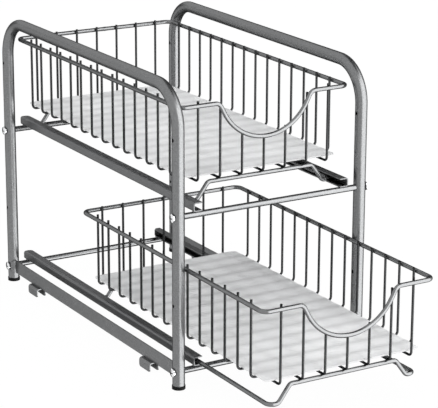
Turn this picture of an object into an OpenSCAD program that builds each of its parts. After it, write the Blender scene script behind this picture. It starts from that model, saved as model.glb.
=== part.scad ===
// Two-tier pull-out cabinet basket: a bolted tube frame with slide channels,
// and two wire baskets that run in them.
// X is across, Y runs from the front (-Y, where the baskets pull out) to the back, Z is up.

/* [Frame] */
// Distance between the front and rear legs, centre to centre
leg_spacing = 430; // [380:5:520]
// Distance between the two side tubes, centre to centre
frame_w = 237.4; // [215:0.2:300]
// Height of the side tubes above the floor, to their top
frame_h = 347; // [335:1:420]
// Outer diameter of the side tubes
tube_d = 14; // [12:0.5:18]
// Wall of the side tubes
tube_wall = 1; // [0.8:0.1:1.6]
// Centre-line radius of the two bends in a side tube
tube_bend_r = 44; // [30:1:55]
// Diameter of the wall-fixing holes through the legs
fix_hole_d = 4.5; // [3.5:0.5:6]
// Height of the lower wall-fixing hole
fix_hole_z = 98; // [80:1:110]
// Distance from the top of the side tubes down to the upper wall-fixing hole
fix_hole_drop = 61; // [60:1:110]

/* [Cross bars and screws] */
// Diameter of the cross bars
bar_d = 7; // [6:0.5:9]
// Height of the lower cross bars
bar_z = 20; // [18:1:26]
// Height from the lower to the upper cross bars
tier_pitch = 179; // [165:1:195]
// Diameter of the screw shanks
screw_d = 4; // [3:0.5:5]
// Diameter of the screw heads
screw_head_d = 10; // [8:0.5:11]
// Height of the screw heads
screw_head_h = 2.8; // [2:0.2:4]
// Length of a screw under its head
screw_l = 32; // [24:1:40]

/* [Slide channels] */
// Width of a channel, from its web to the edge of its flanges
channel_w = 10.8; // [9.5:0.1:13]
// Height of a channel
channel_h = 10.4; // [9.5:0.1:13]
// Sheet thickness of a channel
channel_t = 1.3; // [1:0.1:1.6]
// Outer radius of the channel's two folds
channel_fold_r = 2.6; // [2:0.1:3.2]
// Distance from the legs' inner faces to the channel's web
channel_inset = 10.7; // [8:0.1:14]
// How far a channel reaches past the middle of the front cross bar
channel_front_over = 3; // [0:0.5:6]
// How far it reaches past the middle of the rear cross bar
channel_rear_over = 6; // [0:0.5:6.5]
// Radius of the rounded rear corners of its flanges
channel_corner_r = 4.5; // [2:0.5:6]

/* [Side strips and clips] */
// Height of the strips' lower edge
strip_z = 11.6; // [10:0.1:13]
// Height of the strips
strip_h = 16.4; // [12:0.2:22]
// Sheet thickness of the strips
strip_t = 1.5; // [1:0.1:2]
// How far the strips' ends are turned out round the legs
strip_tab_w = 6.6; // [5.5:0.1:7]
// Radius of the corners of these ends
strip_tab_r = 4.5; // [2:0.1:5]
// Length of a clip
clip_l = 25; // [18:1:34]
// Width of a clip over its two tabs
clip_w = 12; // [10:0.5:16]
// Sheet thickness of a clip
clip_t = 1.2; // [1:0.1:1.6]
// Radius of the clip's fold and of its tabs' lower corners
clip_r = 3.2; // [2:0.2:4]
// Height of the clip tabs' lower edge
clip_foot_z = 0.7; // [0.5:0.1:2]
// Distance between the two clips of a side
clip_pitch = 293; // [240:1:310]

/* [Feet] */
// Outer diameter of the foot caps
foot_d = 15.2; // [15:0.2:20]
// Height of the foot caps
foot_h = 4; // [3:0.5:8]
// Thickness of the foot caps under the tube
foot_base = 1.6; // [1:0.1:2.5]
// Length of the plug inside the tube
foot_plug_l = 9; // [5:1:14]

/* [Baskets] */
// How much shorter a basket is than the leg spacing, at each end
basket_inset = 10; // [6:0.5:16]
// Depth of a basket, from its rim to its cross wires
basket_depth = 83; // [60:1:95]
// Diameter of the rim wire
rim_d = 5; // [4:0.5:6]
// Radius of the rim's corners
rim_corner_r = 9; // [7:0.5:14]
// Diameter of the wall and floor wires
wire_d = 2.8; // [2.2:0.1:3.4]
// Radius of the bends between walls and floor
wire_bend_r = 5; // [4:0.5:8]
// Number of wires that run across
cross_count = 14; // [8:1:18]
// Distance from the ends of the rim to the first and last cross wire
cross_margin = 31.1; // [20:0.1:45]
// Number of wires that run lengthwise
long_count = 7; // [5:2:11]
// Distance from the sides of the rim to the first and last lengthwise wire
long_margin = 23.9; // [18:0.1:30]
// How far the wires' ends stand over the rim's centre line
wire_poke = 4.2; // [3:0.1:6]
// The same for the wires under the front dip
dip_poke = 0.6; // [0:0.1:1.5]
// Half the width of the dip in the front rim
dip_half = 65; // [55:1:72]
// Depth of the dip in the front rim
dip_depth = 44.3; // [25:0.1:50]
// Radius of the dip's two upper bends
dip_shoulder_r = 8.8; // [6:0.2:10]
// How far the closed upper basket stands behind the middle of the frame
upper_rest = 2.7; // [0:0.1:5]
// How far the lower basket is pulled out at rest
lower_pull = 172.5; // [0:2.5:275]

/* [Runners] */
// Diameter of the runner wire
runner_d = 5; // [4:0.5:5.5]
// Distance from the ends of the rim to the runner's ends
runner_inset = 10.3; // [8:0.1:16]
// Height of the runner's ends over its sides
runner_rise = 19.6; // [14:0.1:24]
// Width that the climb to that height takes
runner_rise_run = 14.7; // [10:0.1:20]
// Radius of the runner's corners
runner_corner_r = 8; // [6:0.5:9]
// Radius of the bends at the foot and the top of the climb
runner_bend_r = 6; // [5:0.5:7]

/* [Liners] */
// Thickness of the liners
liner_t = 1.6; // [1:0.1:2.5]
// Radius of the liners' corners
liner_corner_r = 5; // [2:0.5:12]

/* [Clearances] */
// Gap at a weld or seat between two pieces that touch
seat_gap = 0.08; // [0.05:0.01:0.15]
// Gap between a basket's rim and the legs
rim_clear = 0.9; // [0.5:0.1:2]
// Gap between a runner and the floor of its channel
slide_gap = 0.3; // [0.2:0.05:0.5]
// Gap between a runner and the web of its channel
slide_side_gap = 3.2; // [1:0.1:3.5]
// Gap round a screw in its holes, on the radius
screw_clear = 0.15; // [0.1:0.05:0.3]
// Gap round the foot's collar and plug, on the radius
foot_clear = 0.1; // [0.05:0.05:0.2]

/* [Hidden] */

$fn = 48;
LEFT = -1;
RIGHT = 1;
FRONT = -1;
REAR = 1;
SILVER = [0.62, 0.63, 0.64];
BRIGHT = [0.80, 0.81, 0.82];
BLACK = [0.08, 0.08, 0.08];
LINER_GREY = [0.82, 0.83, 0.83, 0.9];

// Frame
side_x = frame_w / 2;
leg_y = leg_spacing / 2;
leg_inner_x = side_x - tube_d / 2;
leg_outer_x = side_x + tube_d / 2;
tube_bottom_z = foot_base + seat_gap;
tube_top_z = frame_h - tube_d / 2;
lower_bar_z = bar_z;
upper_bar_z = bar_z + tier_pitch;
screw_bore_d = screw_d + 2 * screw_clear;
// Screws pass the whole leg, so what is left of their length is in the bar
bore_past_screw = 2;
bar_bore_end_x = leg_outer_x - screw_l - bore_past_screw;
screw_slot_w = 1.2;
screw_slot_l = 6.2;
screw_slot_depth = 1.7;

// Channels, measured from the cross bar that carries them
channel_x = leg_inner_x - channel_inset;
channel_l = leg_spacing + channel_front_over + channel_rear_over;
channel_dz = bar_d / 2 + seat_gap;
channel_inner_h = channel_h - 2 * channel_t;

// Baskets, measured from the cross bar and the middle of the basket
rim_x = leg_inner_x - rim_clear - rim_d / 2;
rim_y = leg_y - basket_inset;
weld_offset = (rim_d + wire_d) / 2 + seat_gap;
wall_x = rim_x - weld_offset;
wall_y = rim_y - weld_offset;
runner_x = channel_x - channel_t - slide_side_gap - runner_d / 2;
runner_y = rim_y - runner_inset;
runner_dz = channel_dz + channel_t + slide_gap + runner_d / 2;
runner_top_dz = runner_dz + runner_rise;
long_dz = runner_top_dz + (runner_d + wire_d) / 2 + seat_gap;
cross_dz = long_dz + wire_d + seat_gap;
rim_dz = cross_dz + basket_depth;
liner_dz = cross_dz + wire_d / 2 + seat_gap;
cross_pitch = 2 * (rim_y - cross_margin) / (cross_count - 1);
long_pitch = 2 * (rim_x - long_margin) / (long_count - 1);
rise_angle = atan2(runner_rise, runner_rise_run);
rise_play = 0.3;
rise_foot_x = runner_x - runner_corner_r - runner_bend_r * tan(rise_angle / 2) - rise_play;
rise_top_x = rise_foot_x - runner_rise_run;
// The rim and the runner are closed between two lengthwise wires, by a low bead over the
// small gap between the wire's ends
weld_x = long_pitch / 2;
weld_gap = 1;
bead_h = 0.2;
bead_l = 3;

// The dip is an arc with a short straight flank and a shoulder bend on each side. The wire
// turns by dip_angle in a shoulder and back by as much in each half of the arc.
dip_flank_l = 8;
dip_angle = 2 * atan2(dip_depth, dip_half + dip_flank_l);
dip_r = (dip_half - dip_flank_l * cos(dip_angle)) / sin(dip_angle) - dip_shoulder_r;
dip_vertex_x = dip_half - dip_shoulder_r * tan(dip_angle / 2);
dip_arc_x = dip_r * sin(dip_angle);
dip_flank_x = dip_arc_x + dip_flank_l * cos(dip_angle);

// The origin is on the floor, under the middle of the whole object at rest
lower_rest = upper_rest - lower_pull;
front_end = min(-leg_y - foot_d / 2, lower_rest - rim_y - rim_d / 2);
rear_end = max(leg_y + foot_d / 2, upper_rest + rim_y + rim_d / 2);
origin_y = (front_end + rear_end) / 2;

// How far the front rim is from its full height at a distance x from the middle
function dip_level(x) =
    abs(x) >= dip_half ? 0
    : abs(x) > dip_flank_x ? sqrt(pow(dip_shoulder_r, 2) - pow(dip_half - abs(x), 2)) - dip_shoulder_r
    : abs(x) > dip_arc_x ? (abs(x) - dip_vertex_x) * tan(dip_angle)
    : dip_r - dip_depth - sqrt(pow(dip_r, 2) - pow(x, 2));

function unit(v) = v / norm(v);
// Angle by which the path turns at point i, and what the bend there takes from each run
function turn(path, i) = acos(unit(path[i] - path[i - 1]) * unit(path[i + 1] - path[i]));
function setback(path, bends, i) = i > 0 && i < len(path) - 1 ? bends[i] * tan(turn(path, i) / 2) : 0;

// Carries a flat profile, size across, along a path's straight runs and round the bends between
module swept(path, bends, size) {
    z = unit(path[1] - path[0]);
    x = unit(cross(z, abs(z.x) < 0.9 ? [1, 0, 0] : [0, 1, 0]));
    y = cross(z, x);
    start = path[0];
    multmatrix([[x.x, y.x, z.x, start.x], [x.y, y.y, z.y, start.y], [x.z, y.z, z.z, start.z], [0, 0, 0, 1]])
        swept_on(path, bends, size, 0, [x, y, z]) children();
}

// The path from point i on, which starts at the origin and runs up Z. Each piece is placed from
// the end of the one before it, so that they meet face to face. The axes are those of the whole.
module swept_on(path, bends, size, i, axes) {
    left = norm(path[i + 1] - path[i]) - setback(path, bends, i) - setback(path, bends, i + 1);
    run = left > 0.01 ? left : 0;
    if (run > 0)
        linear_extrude(run) children();
    if (i < len(path) - 2) {
        ahead = unit(path[i + 2] - path[i + 1]);
        inward = unit(ahead - (axes.z * ahead) * axes.z);
        angle = turn(path, i + 1);
        r = bends[i + 1];
        translate([0, 0, run]) rotate([0, 0, atan2(inward * axes.y, inward * axes.x)]) {
            bend(r, angle, size) children();
            turned(r, angle)
                swept_on(path, bends, size, i + 1,
                         [inward * cos(angle) - axes.z * sin(angle), cross(axes.z, inward), ahead])
                    children();
        }
    }
}

// From the start of a bend towards +X to its end
module turned(r, angle) translate([r, 0, 0]) rotate([0, angle, 0]) translate([-r, 0, 0]) children();

// A bend towards +X. One that isn't square is swept a little too far and cut back to its end.
module bend(r, angle, size) {
    extra = abs(angle - 90) < 0.001 ? 0 : 2;
    difference() {
        multmatrix([[-1, 0, 0, r], [0, 0, 1, 0], [0, 1, 0, 0], [0, 0, 0, 1]])
            rotate_extrude(angle = angle + extra) translate([r, 0]) children();
        if (extra > 0)
            turned(r, angle) translate([-size, -size, 0]) cube([2 * size, 2 * size, size + r * sin(extra)]);
    }
}

module from_origin() translate([0, -origin_y, 0]) children();

module across(x, y, z, d, l) translate([x, y, z]) rotate([0, 90, 0]) cylinder(d = d, h = l, center = true);

// One leg as a solid round, for cutting what ends against it
module leg_round(side, end)
    translate([side * side_x, end * leg_y, 0]) cylinder(d = tube_d + 2 * seat_gap, h = tube_top_z);

// A side tube: two legs and a top rail in one bent length, drilled for screws and wall fixing
module side_tube(side) from_origin() color(SILVER) difference() {
    x = side * side_x;
    swept([[x, -leg_y, tube_bottom_z], [x, -leg_y, tube_top_z], [x, leg_y, tube_top_z], [x, leg_y, tube_bottom_z]],
          [0, tube_bend_r, tube_bend_r, 0], tube_d)
        difference() {
            circle(d = tube_d);
            circle(d = tube_d - 2 * tube_wall);
        }
    for (end = [FRONT, REAR]) {
        for (z = [lower_bar_z, upper_bar_z])
            across(x, end * leg_y, z, screw_bore_d, tube_d + 2);
        for (z = [fix_hole_z, frame_h - fix_hole_drop])
            across(x, end * leg_y, z, fix_hole_d, tube_d + 2);
    }
}

// A cross bar, coped to the legs and bored at both ends for the screws
module cross_bar(end, z) from_origin() color(BRIGHT) difference() {
    across(0, end * leg_y, z, bar_d, 2 * side_x);
    for (side = [LEFT, RIGHT]) {
        leg_round(side, end);
        across(side * (bar_bore_end_x + side_x) / 2, end * leg_y, z, screw_bore_d, side_x - bar_bore_end_x);
    }
}

module screw(side, end, z) translate([side * (leg_outer_x + seat_gap), end * leg_y, z])
    rotate([0, side * 90, 0]) {
        difference() {
            intersection() {
                cylinder(d = screw_head_d, h = screw_head_h);
                translate([0, 0, screw_head_h - screw_head_d]) sphere(d = 2 * screw_head_d);
            }
            for (a = [0, 90])
                rotate([0, 0, a])
                    translate([-screw_slot_l / 2, -screw_slot_w / 2, screw_head_h - screw_slot_depth])
                        cube([screw_slot_l, screw_slot_w, screw_slot_depth + 1]);
        }
        translate([0, 0, -screw_l]) cylinder(d = screw_d, h = screw_l);
    }

module screws(z) from_origin() color(BRIGHT)
    for (side = [LEFT, RIGHT], end = [FRONT, REAR]) screw(side, end, z);

// Section of a slide channel: web at x = 0, flanges towards -x, folded round at both corners
module channel_section() {
    inner_r = channel_fold_r - channel_t;
    difference() {
        union() {
            translate([-channel_w, 0]) square([channel_w - channel_fold_r, channel_h]);
            translate([-channel_fold_r, channel_fold_r]) square([channel_fold_r, channel_h - 2 * channel_fold_r]);
            for (z = [channel_fold_r, channel_h - channel_fold_r])
                translate([-channel_fold_r, z]) circle(r = channel_fold_r);
        }
        translate([-channel_w - 1, channel_t]) square([channel_w + 1 - channel_fold_r, channel_inner_h]);
        translate([-channel_fold_r - 1, channel_fold_r])
            square([1 + inner_r, channel_h - 2 * channel_fold_r]);
        for (z = [channel_fold_r, channel_h - channel_fold_r])
            translate([-channel_fold_r, z]) circle(r = inner_r);
    }
}

module channel(side, z) from_origin() color(SILVER)
    translate([side * channel_x, leg_y + channel_rear_over, z + channel_dz])
        mirror([side < 0 ? 1 : 0, 0, 0]) difference() {
            rotate([90, 0, 0]) linear_extrude(channel_l) channel_section();
            translate([-channel_w, 0, -1]) corner_loss(channel_corner_r, channel_h + 2);
        }

// What a corner at the origin, between an edge towards +X and one towards -Y, loses by rounding
module corner_loss(r, h) difference() {
    translate([-1, -r, 0]) cube([r + 1, r + 1, h]);
    translate([r, -r, -1]) cylinder(r = r, h = h + 2);
}

// The flat strip between the feet of a side, whose ends are turned out round the legs
module strip(side) from_origin() color(SILVER) difference() {
    union() {
        translate([side * side_x - strip_t / 2, -leg_y, strip_z]) cube([strip_t, leg_spacing, strip_h]);
        for (end = [FRONT, REAR])
            translate([side * side_x, end * leg_y, strip_z])
                mirror([side < 0 ? 1 : 0, 0, 0]) mirror([0, end < 0 ? 1 : 0, 0]) strip_tab();
    }
    for (end = [FRONT, REAR]) leg_round(side, end);
}

// The end of a strip that comes from -Y and is bent towards +X round a leg at the origin
module strip_tab() intersection() {
    cylinder(d = tube_d + 2 * (seat_gap + strip_t), h = strip_h);
    rotate([90, 0, 0]) linear_extrude(tube_d) {
        translate([-strip_t / 2, 0]) square([strip_t / 2 + strip_tab_w - strip_tab_r, strip_h]);
        translate([0, strip_tab_r]) square([strip_tab_w, strip_h - 2 * strip_tab_r]);
        for (z = [strip_tab_r, strip_h - strip_tab_r])
            translate([strip_tab_w - strip_tab_r, z]) circle(r = strip_tab_r);
    }
}

// A clip under a strip: a folded cap with two tabs that go down over a rail
module clip(side, end) from_origin() color(SILVER) {
    clip_h = strip_z - seat_gap - clip_foot_z;
    translate([side * side_x, end * clip_pitch / 2, clip_foot_z]) intersection() {
        rotate([90, 0, 0]) linear_extrude(clip_l, center = true) difference() {
            arch(clip_w, clip_h, clip_r);
            translate([0, -1]) arch(clip_w - 2 * clip_t, clip_h + 1 - clip_t, clip_r - clip_t);
        }
        rotate([90, 0, 90]) linear_extrude(clip_w, center = true)
            translate([0, clip_h]) mirror([0, 1]) arch(clip_l, clip_h, clip_r);
    }
}

// A rectangle that stands on the x axis, with its two upper corners rounded
module arch(w, h, r) {
    translate([-w / 2, 0]) square([w, h - r]);
    translate([r - w / 2, 0]) square([w - 2 * r, h]);
    for (x = [r - w / 2, w / 2 - r])
        translate([x, h - r]) circle(r = r);
}

// A foot cap: a cup round the tube's end, with a plug inside the tube
module foot(side, end) from_origin() color(BLACK) translate([side * side_x, end * leg_y, 0]) {
    difference() {
        cylinder(d = foot_d, h = foot_h);
        translate([0, 0, foot_base]) cylinder(d = tube_d + 2 * foot_clear, h = foot_h);
    }
    cylinder(d = tube_d - 2 * tube_wall - 2 * foot_clear, h = foot_base + foot_plug_l);
}

module in_basket(rest, z) from_origin() translate([0, rest, z]) children();

// The butt weld that closes a bent wire into a ring
module butt_weld(y, z, d) across(weld_x, y, z, d + 2 * bead_h, bead_l);

// The rim: one ring of wire with rounded corners and a dip in its front
module rim(rest, z) in_basket(rest, z + rim_dz) color(SILVER) {
    swept([[weld_x - weld_gap / 2, rim_y, 0], [-rim_x, rim_y, 0], [-rim_x, -rim_y, 0],
           [-dip_vertex_x, -rim_y, 0], [0, -rim_y, -dip_vertex_x * tan(dip_angle)], [dip_vertex_x, -rim_y, 0],
           [rim_x, -rim_y, 0], [rim_x, rim_y, 0], [weld_x + weld_gap / 2, rim_y, 0]],
          [0, rim_corner_r, rim_corner_r, dip_shoulder_r, dip_r, dip_shoulder_r, rim_corner_r, rim_corner_r, 0],
          rim_d)
        circle(d = rim_d);
    butt_weld(rim_y, 0, rim_d);
}

module cross_wires(rest, z) in_basket(rest, z) color(SILVER)
    for (i = [0 : cross_count - 1]) {
        y = cross_margin - rim_y + i * cross_pitch;
        top = rim_dz + wire_poke;
        swept([[-wall_x, y, top], [-wall_x, y, cross_dz], [wall_x, y, cross_dz], [wall_x, y, top]],
              [0, wire_bend_r, wire_bend_r, 0], wire_d)
            circle(d = wire_d);
    }

module long_wires(rest, z) in_basket(rest, z) color(SILVER)
    for (i = [0 : long_count - 1]) {
        x = long_margin - rim_x + i * long_pitch;
        poke = abs(x) < dip_half - dip_shoulder_r - wire_d ? dip_poke : wire_poke;
        swept([[x, -wall_y, rim_dz + dip_level(x) + poke], [x, -wall_y, long_dz],
               [x, wall_y, long_dz], [x, wall_y, rim_dz + wire_poke]],
              [0, wire_bend_r, wire_bend_r, 0], wire_d)
            circle(d = wire_d);
    }

// The runner: one ring of wire, low at its sides, which run in the channels, and
// raised at its ends, where the floor wires are welded on
module runner(rest, z) in_basket(rest, z) color(SILVER) {
    climb = [[runner_x, runner_dz], [rise_foot_x, runner_dz], [rise_top_x, runner_top_dz]];
    climb_bends = [runner_corner_r, runner_bend_r, runner_bend_r];
    for (side = [LEFT, RIGHT])
        swept(concat([[0, -runner_y, runner_top_dz]],
                     [for (i = [2, 1, 0]) [side * climb[i].x, -runner_y, climb[i].y]],
                     [for (i = [0, 1, 2]) [side * climb[i].x, runner_y, climb[i].y]],
                     [[weld_x + side * weld_gap / 2, runner_y, runner_top_dz]]),
              concat([0], [for (i = [2, 1, 0]) climb_bends[i]], climb_bends, [0]), runner_d)
            circle(d = runner_d);
    butt_weld(runner_y, runner_top_dz, runner_d);
}

// The liner covers the flat part of the floor
module liner(rest, z) in_basket(rest, z + liner_dz) color(LINER_GREY) {
    x = wall_x - wire_bend_r - liner_corner_r;
    y = wall_y - wire_bend_r - liner_corner_r;
    linear_extrude(liner_t) {
        square([2 * (x + liner_corner_r), 2 * y], center = true);
        square([2 * x, 2 * (y + liner_corner_r)], center = true);
        for (sx = [-x, x], sy = [-y, y]) translate([sx, sy]) circle(r = liner_corner_r);
    }
}

side_tube(LEFT);  // frame_left
side_tube(RIGHT);  // frame_right
cross_bar(FRONT, upper_bar_z);  // bar_upper_front
cross_bar(REAR, upper_bar_z);  // bar_upper_rear
cross_bar(FRONT, lower_bar_z);  // bar_lower_front
cross_bar(REAR, lower_bar_z);  // bar_lower_rear
channel(LEFT, upper_bar_z);  // channel_upper_left
channel(RIGHT, upper_bar_z);  // channel_upper_right
channel(LEFT, lower_bar_z);  // channel_lower_left
channel(RIGHT, lower_bar_z);  // channel_lower_right
strip(LEFT);  // strip_left
strip(RIGHT);  // strip_right
clip(LEFT, FRONT);  // clip_left_front
clip(LEFT, REAR);  // clip_left_rear
clip(RIGHT, FRONT);  // clip_right_front
clip(RIGHT, REAR);  // clip_right_rear
foot(LEFT, FRONT);  // foot_left_front
foot(LEFT, REAR);  // foot_left_rear
foot(RIGHT, FRONT);  // foot_right_front
foot(RIGHT, REAR);  // foot_right_rear
screws(upper_bar_z);  // screws_upper
screws(lower_bar_z);  // screws_lower
rim(upper_rest, upper_bar_z);  // upper_rim
cross_wires(upper_rest, upper_bar_z);  // upper_cross_wires
long_wires(upper_rest, upper_bar_z);  // upper_long_wires
runner(upper_rest, upper_bar_z);  // upper_runner
liner(upper_rest, upper_bar_z);  // upper_liner
rim(lower_rest, lower_bar_z);  // lower_rim
cross_wires(lower_rest, lower_bar_z);  // lower_cross_wires
long_wires(lower_rest, lower_bar_z);  // lower_long_wires
runner(lower_rest, lower_bar_z);  // lower_runner
liner(lower_rest, lower_bar_z);  // lower_liner
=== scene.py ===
from math import cos, radians, sin

import bmesh
import bpy
import numpy as np
from mathutils import Matrix, Vector


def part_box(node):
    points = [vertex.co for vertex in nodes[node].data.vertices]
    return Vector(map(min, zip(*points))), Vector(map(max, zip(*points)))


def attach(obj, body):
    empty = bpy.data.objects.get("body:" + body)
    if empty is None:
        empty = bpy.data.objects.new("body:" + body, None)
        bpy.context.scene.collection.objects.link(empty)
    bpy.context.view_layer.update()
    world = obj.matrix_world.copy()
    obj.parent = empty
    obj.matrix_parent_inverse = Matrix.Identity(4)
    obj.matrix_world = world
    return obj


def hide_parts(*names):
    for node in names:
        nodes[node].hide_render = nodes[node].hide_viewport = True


# lengths are in metres, and the baskets' front is towards -Y
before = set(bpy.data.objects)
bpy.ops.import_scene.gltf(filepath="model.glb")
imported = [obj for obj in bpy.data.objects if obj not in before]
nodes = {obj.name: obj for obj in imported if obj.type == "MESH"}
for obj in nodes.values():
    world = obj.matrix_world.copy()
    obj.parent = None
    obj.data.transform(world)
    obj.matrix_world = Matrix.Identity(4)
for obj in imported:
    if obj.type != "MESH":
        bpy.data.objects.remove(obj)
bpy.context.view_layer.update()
tiers = ("upper", "lower")
print("frame loaded:", len(nodes), "nodes")


def cornersOf(name):
    # the lowest and highest corners of a node at rest
    return [np.array(v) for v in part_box(name)]


def middleOf(name):
    # the middle of a node at rest
    low, high = cornersOf(name)
    return (low + high) / 2


camera = {
    "place": (-1.1445, -1.95255, 0.8442),
    "azimuth": -30.687,  # degrees, 0 looks along +Y
    "elevation": 16.818,
    "roll": 0.2095,
    "lens": 165.5,  # mm
    "sensor": 36.0,  # mm
    "reach": 30.0,
}


def makeCamera(spec):
    # right, up and back are the columns of the camera's turn: back points away from the view, right is level,
    # and roll turns right and up about back
    azimuth, elevation, roll = (radians(spec[k]) for k in ("azimuth", "elevation", "roll"))
    back = np.array([sin(azimuth) * cos(elevation), -cos(azimuth) * cos(elevation), sin(elevation)])
    level = np.array([cos(azimuth), sin(azimuth), 0.0])
    upright = np.cross(back, level)
    right = cos(roll) * level + sin(roll) * upright
    up = cos(roll) * upright - sin(roll) * level
    turn = Matrix([[right[i], up[i], back[i]] for i in range(3)]).to_4x4()
    data = bpy.data.cameras.new("photoCamera")
    data.sensor_width = spec["sensor"]
    data.lens = spec["lens"]
    data.clip_end = spec["reach"]
    obj = bpy.data.objects.new("photoCamera", data)
    bpy.context.collection.objects.link(obj)
    obj.matrix_world = Matrix.Translation(Vector(spec["place"])) @ turn
    bpy.context.scene.camera = obj


makeCamera(camera)
print("camera made")


def newMaterial(name):
    # an empty Principled material with its Object coordinates ready
    mat = bpy.data.materials.new(name)
    mat.use_nodes = True
    tree = mat.node_tree
    tree.nodes.clear()
    out = tree.nodes.new("ShaderNodeOutputMaterial")
    shader = tree.nodes.new("ShaderNodeBsdfPrincipled")
    coords = tree.nodes.new("ShaderNodeTexCoord")
    tree.links.new(shader.outputs["BSDF"], out.inputs["Surface"])
    return mat, tree, shader, coords.outputs["Object"]


def noiseOf(tree, coords, scale, detail, stretch=None):
    # noise over Object coordinates, which a Mapping node stretches where the grain has a direction
    if stretch:
        mapping = tree.nodes.new("ShaderNodeMapping")
        mapping.inputs["Scale"].default_value = stretch
        tree.links.new(coords, mapping.inputs["Vector"])
        coords = mapping.outputs["Vector"]
    noise = tree.nodes.new("ShaderNodeTexNoise")
    noise.inputs["Scale"].default_value = scale
    noise.inputs["Detail"].default_value = detail
    tree.links.new(coords, noise.inputs["Vector"])
    return noise.outputs["Fac"]


def rangeOf(tree, value, low, high, fromLow=0.3, fromHigh=0.7):
    # straight-line map of a value from one range to another, clamped; most noise lies between 0.3 and 0.7
    node = tree.nodes.new("ShaderNodeMapRange")
    for key, number in (("From Min", fromLow), ("From Max", fromHigh), ("To Min", low), ("To Max", high)):
        node.inputs[key].default_value = number
    tree.links.new(value, node.inputs["Value"])
    return node.outputs["Result"]


def mixOf(tree, factor, first, second):
    # mix of two colours, each a tuple or a socket; the node's sockets 6 and 7 are its colours
    node = tree.nodes.new("ShaderNodeMix")
    node.data_type = "RGBA"
    tree.links.new(factor, node.inputs["Factor"])
    for socket, value in ((node.inputs[6], first), (node.inputs[7], second)):
        if isinstance(value, tuple):
            socket.default_value = (*value, 1.0)
        else:
            tree.links.new(value, socket)
    return node.outputs[2]


def bumpOf(tree, height, distance, strength):
    # tilt of the surface from a height between 0 and 1, times the distance
    node = tree.nodes.new("ShaderNodeBump")
    node.inputs["Distance"].default_value = distance
    node.inputs["Strength"].default_value = strength
    tree.links.new(height, node.inputs["Height"])
    return node.outputs["Normal"]


def opennessOf(tree, reach, shut, clear, alone=False):
    # from the share of directions that are free within the reach: 0 up to the shut share, 1 from the clear
    # share on; alone leaves all other pieces out
    shadeHollow = tree.nodes.new("ShaderNodeAmbientOcclusion")
    shadeHollow.samples = 8
    shadeHollow.only_local = alone
    shadeHollow.inputs["Distance"].default_value = reach
    return rangeOf(tree, shadeHollow.outputs["AO"], 0.0, 1.0, shut, clear)


# In the finishes below a noise is its scale and detail, a bump its distance and strength, and a shade
# hollow its reach and its shut and clear shares: where a piece is shut in, painted shade darkens its colour.

coat = {  # what all the paints share; tones are parts of the paint's colour
    "flakes": (900.0, 3.0),
    "blotches": (24.0, 4.0),
    "blotchShare": 0.25,
    "blotchTone": 0.8,
    # the colour of the painted shade inside folded pieces, as a part of the paint's colour
    "paintedShadeTone": 0.08,
    "gloss": (90.0, 3.0),
    "peel": (700.0, 2.0),
    "peelBump": (0.0002, 0.15),
}
silver = (0.2, 0.203, 0.206)
paints = {  # grain: how far the flakes stray from the colour; edge: the gloss left where metal turns away
    "frame": {"colour": silver, "grain": 0.26, "metallic": 0.9, "rough": (0.26, 0.34), "edge": 0.6},
    "bar": {"colour": silver, "grain": 0.14, "metallic": 0.95, "rough": (0.2, 0.3), "edge": 0.1},
    "channel": {
        "colour": (0.15, 0.152, 0.155), "grain": 0.26, "metallic": 0.62, "rough": (0.28, 0.36),
        "edge": 0.4, "shadeHollow": (0.012, 0.4, 0.8),
    },
    "clip": {
        "colour": silver, "grain": 0.26, "metallic": 0.9, "rough": (0.26, 0.34),
        "edge": 0.6, "shadeHollow": (0.014, 0.45, 0.85),
    },
    "bentWire": {"colour": silver, "grain": 0.1, "metallic": 0.86, "rough": (0.18, 0.26), "edge": 0.1},
    "thinWire": {
        "colour": (0.045, 0.046, 0.047), "grain": 0.1, "metallic": 1.0, "rough": (0.16, 0.24),
        "edge": 0.1,
    },
}


def silverPaint(name, spec, coat):
    # metal flakes make a fine grain and slow blotches a faint cloud in the colour, broad noise varies the
    # gloss, and a finer one gives the slight orange peel of baked paint; folded pieces have painted shade
    # inside, a colour that goes dark where their own walls shut them in
    mat, tree, shader, coords = newMaterial(name)
    colour, grain = np.array(spec["colour"]), spec["grain"]
    flakes = rangeOf(tree, noiseOf(tree, coords, *coat["flakes"]), 0.0, 1.0)
    base = mixOf(tree, flakes, tuple(colour * (1 - grain)), tuple(colour * (1 + grain)))
    blotches = rangeOf(tree, noiseOf(tree, coords, *coat["blotches"]), 0.0, coat["blotchShare"])
    base = mixOf(tree, blotches, base, tuple(colour * coat["blotchTone"]))
    # painted shade: the colour goes dark where the piece's own walls shut it in
    if "shadeHollow" in spec:
        openness = opennessOf(tree, *spec["shadeHollow"], alone=True)
        base = mixOf(tree, openness, tuple(colour * coat["paintedShadeTone"]), base)
    tree.links.new(base, shader.inputs["Base Color"])
    gloss = rangeOf(tree, noiseOf(tree, coords, *coat["gloss"]), *spec["rough"])
    tree.links.new(gloss, shader.inputs["Roughness"])
    shader.inputs["Metallic"].default_value = spec["metallic"]
    shader.inputs["Specular Tint"].default_value = (spec["edge"], spec["edge"], spec["edge"], 1.0)
    peel = noiseOf(tree, coords, *coat["peel"])
    tree.links.new(bumpOf(tree, peel, *coat["peelBump"]), shader.inputs["Normal"])
    return mat


chrome = {
    "streaks": (900.0, 2.0, (1, 1, 6)),
    "colours": ((0.74, 0.75, 0.76), (0.9, 0.9, 0.91)),
    # the colour of the painted shade in the slot and round the seat
    "paintedShade": (0.012, 0.012, 0.012),
    "shadeHollow": (0.004, 0.68, 0.97),
    "rough": (0.1, 0.24),
    "bump": (0.0001, 0.1),
}


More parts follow.
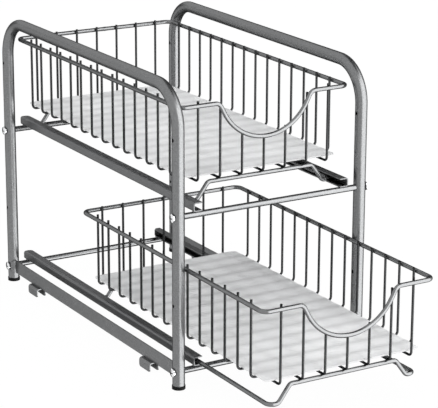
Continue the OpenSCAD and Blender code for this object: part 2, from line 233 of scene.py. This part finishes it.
def chromeSteel(name, spec):
    # bright turned metal with faint streaks, with painted shade where it is shut in: in the slot and round
    # the seat
    mat, tree, shader, coords = newMaterial(name)
    streaks = noiseOf(tree, coords, *spec["streaks"])
    bright = mixOf(tree, streaks, *spec["colours"])
    # painted shade: dark in the slot and round the head's seat on the tube, bright elsewhere
    colour = mixOf(tree, opennessOf(tree, *spec["shadeHollow"]), spec["paintedShade"], bright)
    tree.links.new(colour, shader.inputs["Base Color"])
    tree.links.new(rangeOf(tree, streaks, *spec["rough"]), shader.inputs["Roughness"])
    shader.inputs["Metallic"].default_value = 1.0
    tree.links.new(bumpOf(tree, streaks, *spec["bump"]), shader.inputs["Normal"])
    return mat


footCap = {
    "dust": (60.0, 5.0),
    "dustShare": 0.5,
    "colours": ((0.004, 0.004, 0.0045), (0.012, 0.012, 0.0125)),  # clean and dusty
    "rough": (0.42, 0.6),
    "shine": 0.08,
    "texture": (1800.0, 1.0),
    "bump": (0.0002, 0.3),
}


def blackPlastic(name, spec):
    # moulded plastic: dark, matt, with a fine spark-eroded texture and dust in places
    mat, tree, shader, coords = newMaterial(name)
    dust = noiseOf(tree, coords, *spec["dust"])
    colour = mixOf(tree, rangeOf(tree, dust, 0.0, spec["dustShare"]), *spec["colours"])
    tree.links.new(colour, shader.inputs["Base Color"])
    tree.links.new(rangeOf(tree, dust, *spec["rough"]), shader.inputs["Roughness"])
    shader.inputs["Specular IOR Level"].default_value = spec["shine"]
    texture = noiseOf(tree, coords, *spec["texture"])
    tree.links.new(bumpOf(tree, texture, *spec["bump"]), shader.inputs["Normal"])
    return mat


crossCount = 14  # cross wires of a basket, which carry its liner
crossPitch = 0.02675  # from one cross wire to the next

milk = {
    "clouds": (14.0, 4.0),
    "colours": ((0.82, 0.824, 0.828), (0.9, 0.904, 0.908)),
    # the colour of the painted shade over the wires under the sheet
    "wireShade": (0.5, 0.502, 0.505),
    "wireShadeShare": 0.14,  # of the painted shade's colour over a wire
    "wireShadeEnd": 0.75,  # of the wave's height, where the painted shade has faded out
    "waver": {"Distortion": 1.0, "Detail": 2.0, "Detail Scale": 0.35},
    "rough": (0.34, 0.5),
    "grain": (420.0, 3.0),
    "bump": (0.0002, 0.2),
    "letThrough": 0.55,  # share of the light
    "waveTurn": 20.0,  # radians to a metre in the wave's own formula, at a scale of 1
}


def milkyPlastic(name, middleY, spec):
    # thin milky sheet that lets a part of the light through: slow clouds in the colour, soft bands of painted
    # shade where the wires lie under it, small differences in gloss, and a faint grain.
    # The wave is sin(20 scale y + phase - 90 degrees), and its phase puts the troughs on the wires.
    mat, tree, shader, coords = newMaterial(name)
    clouds = noiseOf(tree, coords, *spec["clouds"])
    wave = tree.nodes.new("ShaderNodeTexWave")
    wave.bands_direction = "Y"
    wave.inputs["Scale"].default_value = 2 * np.pi / (spec["waveTurn"] * crossPitch)
    wave.inputs["Phase Offset"].default_value = np.pi - 2 * np.pi * middleY / crossPitch
    for key, number in spec["waver"].items():
        wave.inputs[key].default_value = number
    tree.links.new(coords, wave.inputs["Vector"])
    clear = mixOf(tree, rangeOf(tree, clouds, 0.0, 1.0), *spec["colours"])
    # painted shade: darker bands over the wires that lie under the sheet
    wireShadeMask = rangeOf(tree, wave.outputs["Fac"], spec["wireShadeShare"], 0.0, 0.0, spec["wireShadeEnd"])
    colour = mixOf(tree, wireShadeMask, clear, spec["wireShade"])
    tree.links.new(colour, shader.inputs["Base Color"])
    tree.links.new(rangeOf(tree, clouds, *spec["rough"]), shader.inputs["Roughness"])
    grain = bumpOf(tree, noiseOf(tree, coords, *spec["grain"]), *spec["bump"])
    tree.links.new(grain, shader.inputs["Normal"])
    through = tree.nodes.new("ShaderNodeBsdfTranslucent")
    tree.links.new(colour, through.inputs["Color"])
    tree.links.new(grain, through.inputs["Normal"])
    mix = tree.nodes.new("ShaderNodeMixShader")
    mix.inputs[0].default_value = spec["letThrough"]
    tree.links.new(shader.outputs["BSDF"], mix.inputs[1])
    tree.links.new(through.outputs["BSDF"], mix.inputs[2])
    tree.links.new(mix.outputs[0], tree.nodes["Material Output"].inputs["Surface"])
    return mat


painted = {part: silverPaint(f"{part}Paint", spec, coat) for part, spec in paints.items()}
linerPlastic = {}
for tier in tiers:
    linerPlastic[tier] = milkyPlastic(f"{tier}LinerPlastic", middleOf(f"{tier}_liner")[1], milk)

finishes = {  # how a node's name begins or ends, and its finish; the rest is bent wire
    "frame_": painted["frame"],
    "strip_": painted["frame"],
    "clip_": painted["clip"],
    "bar_": painted["bar"],
    "channel_": painted["channel"],
    "_wires": painted["thinWire"],
    "foot_": blackPlastic("footPlastic", footCap),
    "screws_": chromeSteel("screwChrome", chrome),
    "upper_liner": linerPlastic["upper"],
    "lower_liner": linerPlastic["lower"],
}
for name, obj in nodes.items():
    fitting = [m for k, m in finishes.items() if name.startswith(k) or name.endswith(k)]
    obj.data.materials.clear()
    obj.data.materials.append(fitting[0] if fitting else painted["bentWire"])
print("materials given to all nodes")


def addPiece(name, points, faces, material, body):
    # a finished piece at the origin, smooth, riding on its body
    mesh = bpy.data.meshes.new(name)
    mesh.from_pydata(points.reshape(-1, 3).tolist(), [], faces.reshape(-1, faces.shape[-1]).tolist())
    mesh.update()
    mesh.shade_smooth()
    mesh.materials.append(material)
    obj = bpy.data.objects.new(name, mesh)
    bpy.context.collection.objects.link(obj)
    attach(obj, body)
    return obj


def gridFaces(rows, columns, closeRows=False, closeColumns=False):
    # the four corners of every cell of a grid of points, with either way closed on itself if asked
    rowStarts = np.arange(rows if closeRows else rows - 1)
    columnStarts = np.arange(columns if closeColumns else columns - 1)
    i, j = np.meshgrid(rowStarts, columnStarts, indexing="ij")
    a, b = i * columns + j, i * columns + (j + 1) % columns
    step = ((i + 1) % rows - i) * columns
    return np.stack([a, b, b + step, a + step], -1)


liner = {
    "cornerRadius": 0.005,
    "sag": 0.0005,  # between two wires
    "cells": (26, 236),  # across and along
    "edgeRound": 0.0004,
    "edgeSegments": 3,
    "edgeAngle": 50,  # degrees, from which an edge is rounded
}


def makeLiner(tier, spec):
    # A sheet laid over evenly spaced wires. Height: the sheet's top, less a raised cosine that is nothing on
    # each wire and the full sag halfway between two. Outline: a rectangle whose corner squares are drawn in
    # to quarter discs by x' = x sqrt(1 - y^2 / 2), y' = y sqrt(1 - x^2 / 2), counted in corner radii.
    low, high = cornersOf(f"{tier}_liner")
    middle, half = (low + high) / 2, (high - low) / 2
    nx, ny = spec["cells"]
    u, v = np.meshgrid(np.linspace(-1, 1, nx + 1), np.linspace(-1, 1, ny + 1), indexing="ij")
    r = spec["cornerRadius"]
    x, y = u * half[0], v * half[1]
    cx, cy = np.clip(x, r - half[0], half[0] - r), np.clip(y, r - half[1], half[1] - r)
    dx, dy = (x - cx) / r, (y - cy) / r
    x, y = cx + r * dx * np.sqrt(1 - dy**2 / 2), cy + r * dy * np.sqrt(1 - dx**2 / 2)
    phase = 2 * np.pi * (y / crossPitch + (crossCount - 1) / 2)
    z = half[2] - spec["sag"] * (1 - np.cos(phase)) / 2
    points = np.stack([x, y, z], -1) + middle
    faces = gridFaces(nx + 1, ny + 1)[..., ::-1]
    obj = addPiece(f"{tier}LinerSheet", points, faces, linerPlastic[tier], f"{tier}_basket")
    wall = obj.modifiers.new("wall", "SOLIDIFY")
    wall.thickness = 2 * half[2]
    wall.offset = -1
    edge = obj.modifiers.new("edge", "BEVEL")
    edge.width = spec["edgeRound"]
    edge.segments = spec["edgeSegments"]
    edge.limit_method = "ANGLE"
    edge.angle_limit = radians(spec["edgeAngle"])
    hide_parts(f"{tier}_liner")


for tier in tiers:
    makeLiner(tier, liner)
print("liners laid")


alongX, alongY, alongZ = (1, 0, 0), (0, 1, 0), (0, 0, 1)
mergeReach = 1e-6  # within which the points of a ball's pole are one


def spots(centres, normal, spec):
    # Flattened balls, or flattened rings about a given radius: each point is cos(t) along the normal and
    # sin(t) round it, scaled by the two half widths, and follows the curve of a tube if one is given, by
    # the square of its place across the tube over twice the tube's radius.
    ring, curve = spec.get("ring", 0.0), spec.get("curve")
    rows = np.linspace(0, np.pi, spec["rings"])
    if ring:
        rows = np.linspace(0, 2 * np.pi, spec["rings"], endpoint=False)
    columns = np.linspace(0, 2 * np.pi, spec["sides"], endpoint=False)
    t, p = np.meshgrid(rows, columns, indexing="ij")
    n = np.array(normal, float)
    side = np.array(alongX if abs(n[2]) > 0.5 else alongZ, float)  # square to the normal
    other = np.cross(n, side)
    reach = ring + spec["across"] * np.sin(t)
    across = reach * np.sin(p)
    lift = spec["out"] * np.cos(t) - (across**2 / (2 * curve) if curve else 0)
    form = lift[..., None] * n + (reach * np.cos(p))[..., None] * side + across[..., None] * other
    cells = gridFaces(*t.shape, closeRows=bool(ring), closeColumns=True).reshape(-1, 4)[:, ::-1]
    points = np.asarray(centres)[:, None, :] + form.reshape(1, -1, 3)
    faces = cells[None] + (np.arange(len(points)) * t.size)[:, None, None]
    return points.reshape(-1, 3), faces.reshape(-1, 4)


def addSpots(name, groups, material, body):
    # one piece of all the spots, with the poles of the balls merged; each group has its middles, the way
    # that its spots face, and their form
    points, faces, count = [], [], 0
    for centres, normal, spec in groups:
        groupPoints, groupFaces = spots(centres, normal, spec)
        points.append(groupPoints)
        faces.append(groupFaces + count)
        count += len(groupPoints)
    obj = addPiece(name, np.concatenate(points), np.concatenate(faces), material, body)
    mesh = bmesh.new()
    mesh.from_mesh(obj.data)
    bmesh.ops.remove_doubles(mesh, verts=mesh.verts, dist=mergeReach)
    mesh.to_mesh(obj.data)
    mesh.free()


wireWeld = {
    "across": 0.0014,  # half width in the plane where two wires touch
    "out": 0.0008,  # half width out of that plane
    "sides": 10,
    "rings": 7,
}
basket = {  # sizes of a basket's wires, from its middle
    "wireRadius": 0.0014,
    "longCount": 7,
    "longPitch": 0.02813,
    "rimX": 0.1083,
    "rimY": 0.205,
    "rimRadius": 0.0025,
    "runnerTopX": 0.0678,  # half of the level stretch under the floor wires
    "runnerY": 0.1947,
    "gap": 0.00008,  # between two pieces that are welded
    "beadHeight": 0.0002,  # over the rim
    "dipHalf": 0.065,
    "dipDepth": 0.0443,
    "dipShoulder": 0.0088,
    "dipFlank": 0.008,
}


def dipLevel(x, spec):
    # How far the front rim's centre line is below its full height at x: a shoulder arc that falls away from
    # the level, a straight flank, and one arc about the middle, which all meet at the same slope.
    half, depth, r, flank = (spec[k] for k in ("dipHalf", "dipDepth", "dipShoulder", "dipFlank"))
    slope = 2 * np.arctan2(depth, half + flank)
    big = (half - flank * np.cos(slope)) / np.sin(slope) - r
    arcX = big * np.sin(slope)
    flankX = arcX + flank * np.cos(slope)
    x = np.abs(x)
    onShoulder = np.sqrt(np.maximum(r**2 - (half - x) ** 2, 0)) - r
    onFlank = (x - half + r * np.tan(slope / 2)) * np.tan(slope)
    onArc = big - depth - np.sqrt(np.maximum(big**2 - x**2, 0))
    return np.select([x >= half, x > flankX, x > arcX], [0 * x, onShoulder, onFlank], onArc)


def evenly(count, pitch):
    # places that are one pitch apart, about 0
    return (np.arange(count) - (count - 1) / 2) * pitch


def makeWireWelds(tier, weld, spec):
    # spots where floor wires cross, where wall wires meet the rim, and where floor wires lie on the runner
    middleY = middleOf(f"{tier}_rim")[1]
    rimTop = cornersOf(f"{tier}_rim")[1][2]
    floorLow = cornersOf(f"{tier}_cross_wires")[0][2]
    rimZ = rimTop - spec["beadHeight"] - spec["rimRadius"]
    floorZ = floorLow - spec["gap"] / 2
    runnerZ = floorLow - spec["gap"] - 2 * spec["wireRadius"] - spec["gap"] / 2
    ys = evenly(crossCount, crossPitch) + middleY
    xs = evenly(spec["longCount"], spec["longPitch"])
    wallX = spec["rimX"] - spec["rimRadius"] - spec["gap"] / 2
    wallY = spec["rimY"] - spec["rimRadius"] - spec["gap"] / 2
    groups = [([(x, y, floorZ) for x in xs for y in ys], alongZ, weld)]
    for side in (-1, 1):
        zs = rimZ + (dipLevel(xs, spec) if side < 0 else 0 * xs)
        runnerY = middleY + side * spec["runnerY"]
        groups.append(([(side * wallX, y, rimZ) for y in ys], alongX, weld))
        groups.append(([(x, middleY + side * wallY, z) for x, z in zip(xs, zs)], alongY, weld))
        groups.append(([(x, runnerY, runnerZ) for x in xs if abs(x) < spec["runnerTopX"]], alongZ, weld))
    addSpots(f"{tier}WeldSpots", groups, painted["thinWire"], f"{tier}_basket")


tabRadius = 0.00858  # from a leg's axis to the face of a strip's end, which is bent round the leg

frameWeld = {
    "markTurn": 27.0,  # degrees round the leg, from the strip to the middle of its mark
    "mark": {"across": 0.0006, "out": 0.0003, "ring": 0.0021, "curve": tabRadius, "sides": 28, "rings": 10},
    "bead": {"across": 0.0016, "out": 0.0009, "sides": 14, "rings": 8},
    "inFromEdge": 0.0012,  # from a channel's edge to the middle of its bead
}


def makeFrameWelds(spec):
    # round marks on the strips' turned-out ends, beads where the clips' ends meet the strips, and beads under
    # both edges of each channel where a bar carries it
    turn = radians(spec["markTurn"])
    groups, beads = [], []
    for side, across in (("left", -1), ("right", 1)):
        stripZ = middleOf(f"strip_{side}")[2]
        for end, along in (("front", 1), ("rear", -1)):
            facing = np.array((across * sin(turn), along * cos(turn), 0))
            markX, markY = (middleOf(f"foot_{side}_{end}") + tabRadius * facing)[:2]
            groups.append(([(markX, markY, stripZ)], facing, spec["mark"]))
            low, high = cornersOf(f"clip_{side}_{end}")
            clipX = (low[0] + high[0]) / 2
            groups.append(([(clipX, y, high[2]) for y in (low[1], high[1])], alongZ, spec["bead"]))
    for tier in tiers:
        for side in ("left", "right"):
            low, high = cornersOf(f"channel_{tier}_{side}")
            for end in ("front", "rear"):
                barY, barTop = middleOf(f"bar_{tier}_{end}")[1], cornersOf(f"bar_{tier}_{end}")[1][2]
                edges = (low[0] + spec["inFromEdge"], high[0] - spec["inFromEdge"])
                beads += [(x, barY, barTop) for x in edges]
    groups.append((beads, alongZ, spec["bead"]))
    addSpots("frameWelds", groups, painted["frame"], "frame")


for tier in tiers:
    makeWireWelds(tier, wireWeld, basket)
makeFrameWelds(frameWeld)
print("welds made")

stop = {
    "sheet": 0.0013,  # thickness of the channels
    "play": 0.00008,  # between the plate and the channel's walls
    "thick": 0.0012,
    "inFromEnd": 0.0006,  # from the channel's rear end
    "inFromEdge": 0.0005,  # from its open side
    "edgeRound": 0.0003,
    "edgeSegments": 2,
}


def makeStops(spec):
    # one upright plate across the rear end of each channel, between its flanges: a unit box stretched to fit
    corners = np.array([(x, y, z) for x in (0, 1) for y in (0, 1) for z in (0, 1)], float)
    sides = np.array([(0, 1, 3, 2), (4, 6, 7, 5), (0, 4, 5, 1), (2, 3, 7, 6), (0, 2, 6, 4), (1, 5, 7, 3)])
    wall, free = spec["sheet"] + spec["play"], spec["inFromEdge"]
    points, faces = [], []
    for tier in tiers:
        for side, lowSide, highSide in (("left", wall, free), ("right", free, wall)):
            low, high = cornersOf(f"channel_{tier}_{side}")
            low = low + (lowSide, 0, wall)
            high = high - (highSide, spec["inFromEnd"], wall)
            low[1] = high[1] - spec["thick"]
            faces.append(sides + len(corners) * len(points))
            points.append(low + corners * (high - low))
    points, faces = np.concatenate(points), np.concatenate(faces)
    obj = addPiece("channelStops", points, faces, painted["channel"], "frame")
    edge = obj.modifiers.new("edge", "BEVEL")
    edge.width = spec["edgeRound"]
    edge.segments = spec["edgeSegments"]
    edge.harden_normals = True


makeStops(stop)
print("channel stops made")

stage = {
    "floorSize": 8.0,
    "floorColour": (0.8, 0.8, 0.8),
    "whiteShare": 0.98,  # how much of the floor that the camera sees is plain white
    "ambient": 1.45,
    "cardColour": (0.01, 0.01, 0.01),
    "cardPoints": (33, 17),  # round and up
}
cards = {  # what only reflections see: parts of a ball round the stage, by degrees from +X and above level
    "backCard": {"turn": (8, 112), "rise": (-60, 20), "radius": 3.5, "glow": 0.0},
    "sideCard": {"turn": (8, 62), "rise": (20, 58), "radius": 3.5, "glow": 0.0},
    "roofCard": {"turn": (-60, 62), "rise": (58, 85), "radius": 3.5, "glow": 0.0},
    "pitCard": {"turn": (-60, 130), "rise": (-85, -50), "radius": 3.5, "glow": 0.0},
    "glowCard": {"turn": (-100, -18), "rise": (-46, 50), "radius": 3.0, "glow": 4.0},
}
lamps = {
    "frontLamp": {"place": (0.9, -2.6, 0.7), "target": (0, 0, 0.15), "size": (1.3, 1.0), "watts": 20.0},
    "topLamp": {"place": (-0.2, -0.1, 2.4), "target": (0, 0, 0.1), "size": (1.8, 1.8), "watts": 8.0},
}


def whiteTo(tree, cameraShare):
    # how white a surface or the world is: its share for the camera, and wholly in reflections and through
    # glass, as a clamped sum
    path = tree.nodes.new("ShaderNodeLightPath")
    total = None
    shares = (("Is Camera Ray", cameraShare), ("Is Glossy Ray", 1.0), ("Is Transmission Ray", 1.0))
    for output, share in shares:
        part = tree.nodes.new("ShaderNodeMath")
        part.operation = "MULTIPLY_ADD"
        part.use_clamp = True
        part.inputs[1].default_value = share
        part.inputs[2].default_value = 0.0
        tree.links.new(path.outputs[output], part.inputs[0])
        if total is not None:
            tree.links.new(total, part.inputs[2])
        total = part.outputs[0]
    return total


def stageMaterial(name, colour, whiteness=None, glow=0.0):
    # matt paper, or the same mixed with plain white, or nothing but a glow of its own
    mat = bpy.data.materials.new(name)
    mat.use_nodes = True
    tree = mat.node_tree
    tree.nodes.clear()
    out = tree.nodes.new("ShaderNodeOutputMaterial")
    matt = tree.nodes.new("ShaderNodeBsdfDiffuse")
    matt.inputs["Color"].default_value = (*colour, 1)
    light = tree.nodes.new("ShaderNodeEmission")
    light.inputs["Strength"].default_value = glow if whiteness is None else 1.0
    mix = tree.nodes.new("ShaderNodeMixShader")
    mix.inputs[0].default_value = 1.0 if glow else 0.0
    if whiteness is not None:
        tree.links.new(whiteTo(tree, whiteness), mix.inputs[0])
    tree.links.new(matt.outputs[0], mix.inputs[1])
    tree.links.new(light.outputs[0], mix.inputs[2])
    tree.links.new(mix.outputs[0], out.inputs["Surface"])
    return mat


def stageObject(name, points, faces, material):
    # a mesh that belongs to the stage and not to the product
    mesh = bpy.data.meshes.new(name)
    mesh.from_pydata(points, [], faces)
    mesh.materials.append(material)
    obj = bpy.data.objects.new(name, mesh)
    bpy.context.collection.objects.link(obj)
    return obj


def makeFloor(spec):
    # a level square that keeps a soft shadow; reflections look through it into the white room
    half = spec["floorSize"] / 2
    paper = stageMaterial("floorPaper", spec["floorColour"], whiteness=spec["whiteShare"])
    corners = [(-half, -half, 0), (half, -half, 0), (half, half, 0), (-half, half, 0)]
    floor = stageObject("studioFloor", corners, [(0, 1, 2, 3)], paper)
    floor.visible_glossy = False


def makeCard(name, spec, shared):
    # a part of a ball about the origin, by longitude and latitude
    rows, columns = shared["cardPoints"]
    turn = np.radians(np.linspace(*spec["turn"], rows))[:, None]
    rise = np.radians(np.linspace(*spec["rise"], columns))[None, :]
    x, y, z = np.broadcast_arrays(np.cos(turn) * np.cos(rise), np.sin(turn) * np.cos(rise), np.sin(rise))
    points = (spec["radius"] * np.stack([x, y, z], -1)).reshape(-1, 3).tolist()
    paper = stageMaterial(f"{name}Paper", shared["cardColour"], glow=spec["glow"])
    card = stageObject(name, points, gridFaces(rows, columns).reshape(-1, 4).tolist(), paper)
    card.visible_camera = False
    card.visible_diffuse = False
    card.visible_transmission = False
    card.visible_shadow = False


def makeWorld(spec):
    # even light from all round on the object, and plain white behind it
    world = bpy.data.worlds.new("studio")
    bpy.context.scene.world = world
    world.use_nodes = True
    tree = world.node_tree
    tree.nodes.clear()
    out = tree.nodes.new("ShaderNodeOutputWorld")
    mix = tree.nodes.new("ShaderNodeMixShader")
    tree.links.new(whiteTo(tree, 1.0), mix.inputs[0])
    for socket, strength in ((mix.inputs[1], spec["ambient"]), (mix.inputs[2], 1.0)):
        light = tree.nodes.new("ShaderNodeBackground")
        light.inputs["Color"].default_value = (1, 1, 1, 1)
        light.inputs["Strength"].default_value = strength
        tree.links.new(light.outputs[0], socket)
    tree.links.new(mix.outputs[0], out.inputs["Surface"])


def makeLamp(name, spec):
    # a soft square lamp that lights the matt surfaces; the cards draw the highlights
    data = bpy.data.lights.new(name, "AREA")
    data.shape = "RECTANGLE"
    data.size, data.size_y = spec["size"]
    data.energy = spec["watts"]
    lamp = bpy.data.objects.new(name, data)
    bpy.context.collection.objects.link(lamp)
    lamp.location = spec["place"]
    facing = Vector(spec["target"]) - Vector(spec["place"])
    lamp.rotation_euler = facing.to_track_quat("-Z", "Y").to_euler()
    lamp.visible_glossy = False


makeFloor(stage)
for name, spec in cards.items():
    makeCard(name, spec, stage)
makeWorld(stage)
for name, spec in lamps.items():
    makeLamp(name, spec)
bpy.context.scene.view_settings.view_transform = "Standard"
print("stage and lights made")

bpy.context.view_layer.update()
